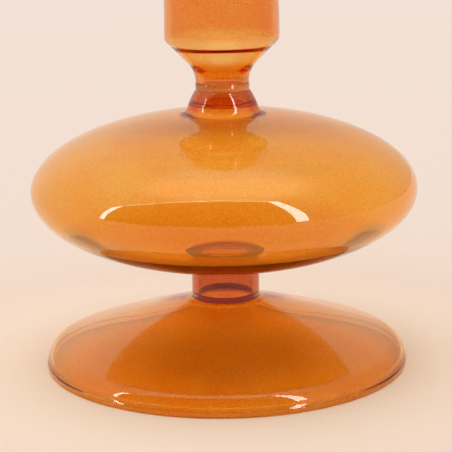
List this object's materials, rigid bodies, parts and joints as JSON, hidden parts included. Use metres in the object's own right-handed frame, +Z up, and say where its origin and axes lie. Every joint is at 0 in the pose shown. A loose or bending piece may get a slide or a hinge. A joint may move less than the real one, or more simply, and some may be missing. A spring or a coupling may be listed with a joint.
{
  "type": "glass candlestick",
  "caption": "Amber glass candlestick: straight candle cup on a closed neck, wide hollow disc bulb, short stem and flared hollow foot.",
  "frame": {"origin": "on the axis of rotation, at table height, the centre of the foot's flat rest ring", "axes": "+Z up along the axis of rotation, out of the candle cup's mouth; the part is round, so +X and +Y are free, and -Y is the side seen first"},
  "size_m": [0.0858, 0.0858, 0.1],
  "materials": {
    "cup_glass": "clear amber glass with a faint fine speckle, fire-polished",
    "seal_glass": "thick amber glass, fused, fire-polished",
    "collar_glass": "clear deep amber glass, fire-polished",
    "disc_glass": "clear amber glass with a faint fine speckle, blown and fire-polished",
    "foot_glass": "clear amber glass with a faint fine speckle, fire-polished beaded lip"
  },
  "bodies": {
    "root": {"candle_cup": "cup_glass", "neck_seal": "seal_glass", "neck_collar": "collar_glass", "collar_seal_ring": "seal_glass", "disc_bulb": "disc_glass", "stem_seal_ring": "seal_glass", "stem_tube": "collar_glass", "foot_seal_ring": "seal_glass", "foot_bell": "foot_glass"}
  },
  "joints": []
}
